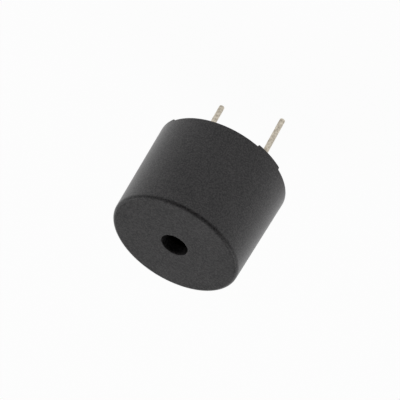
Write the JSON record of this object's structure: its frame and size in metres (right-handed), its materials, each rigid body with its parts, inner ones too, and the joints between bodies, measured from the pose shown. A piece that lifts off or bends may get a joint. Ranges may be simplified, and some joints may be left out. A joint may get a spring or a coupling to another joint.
{
  "type": "piezo buzzer",
  "caption": "Round black pin-type buzzer with a small central sound port, low stand-off feet on the rim and two straight round leads.",
  "frame": {"origin": "centre of the seating plane under the rim feet, midway between the two leads", "axes": "+Z out of the sound port along the body's axis; +X from the negative lead to the positive lead"},
  "size_m": [0.0122, 0.0122, 0.0159],
  "materials": {
    "case_plastic": "fine spark-eroded black moulding",
    "lead_tin": "dull hot-dipped tin",
    "epoxy": "cast black epoxy",
    "plate_brass": "rolled brass",
    "ceramic": "fired ceramic",
    "silver_film": "fired silver",
    "silicone": "translucent white bead",
    "board_laminate": "paper laminate",
    "track_copper": "etched copper",
    "solder": "bright solder",
    "wire_tin": "tinned copper",
    "transistor_moulding": "black moulding",
    "chip_ceramic": "glazed black chip"
  },
  "bodies": {
    "root": {"case": "case_plastic", "pin_positive": "lead_tin", "pin_negative": "lead_tin", "potting": "epoxy", "diaphragm_plate": "plate_brass", "ceramic_disc": "ceramic", "main_electrode": "silver_film", "feedback_electrode": "silver_film", "bond_ring": "silicone", "circuit_board": "board_laminate", "copper_tracks": "track_copper", "transistor": "transistor_moulding", "transistor_base_leg": "wire_tin", "transistor_emitter_leg": "wire_tin", "transistor_collector_leg": "wire_tin", "base_resistor": "chip_ceramic", "collector_resistor": "chip_ceramic", "feedback_resistor": "chip_ceramic", "plate_wire": "wire_tin", "main_wire": "wire_tin", "feedback_wire": "wire_tin", "positive_pin_solder": "solder", "negative_pin_solder": "solder", "plate_wire_pad": "solder", "main_wire_pad": "solder", "feedback_wire_pad": "solder", "plate_wire_joint": "solder", "main_wire_joint": "solder", "feedback_wire_joint": "solder"}
  },
  "joints": []
}
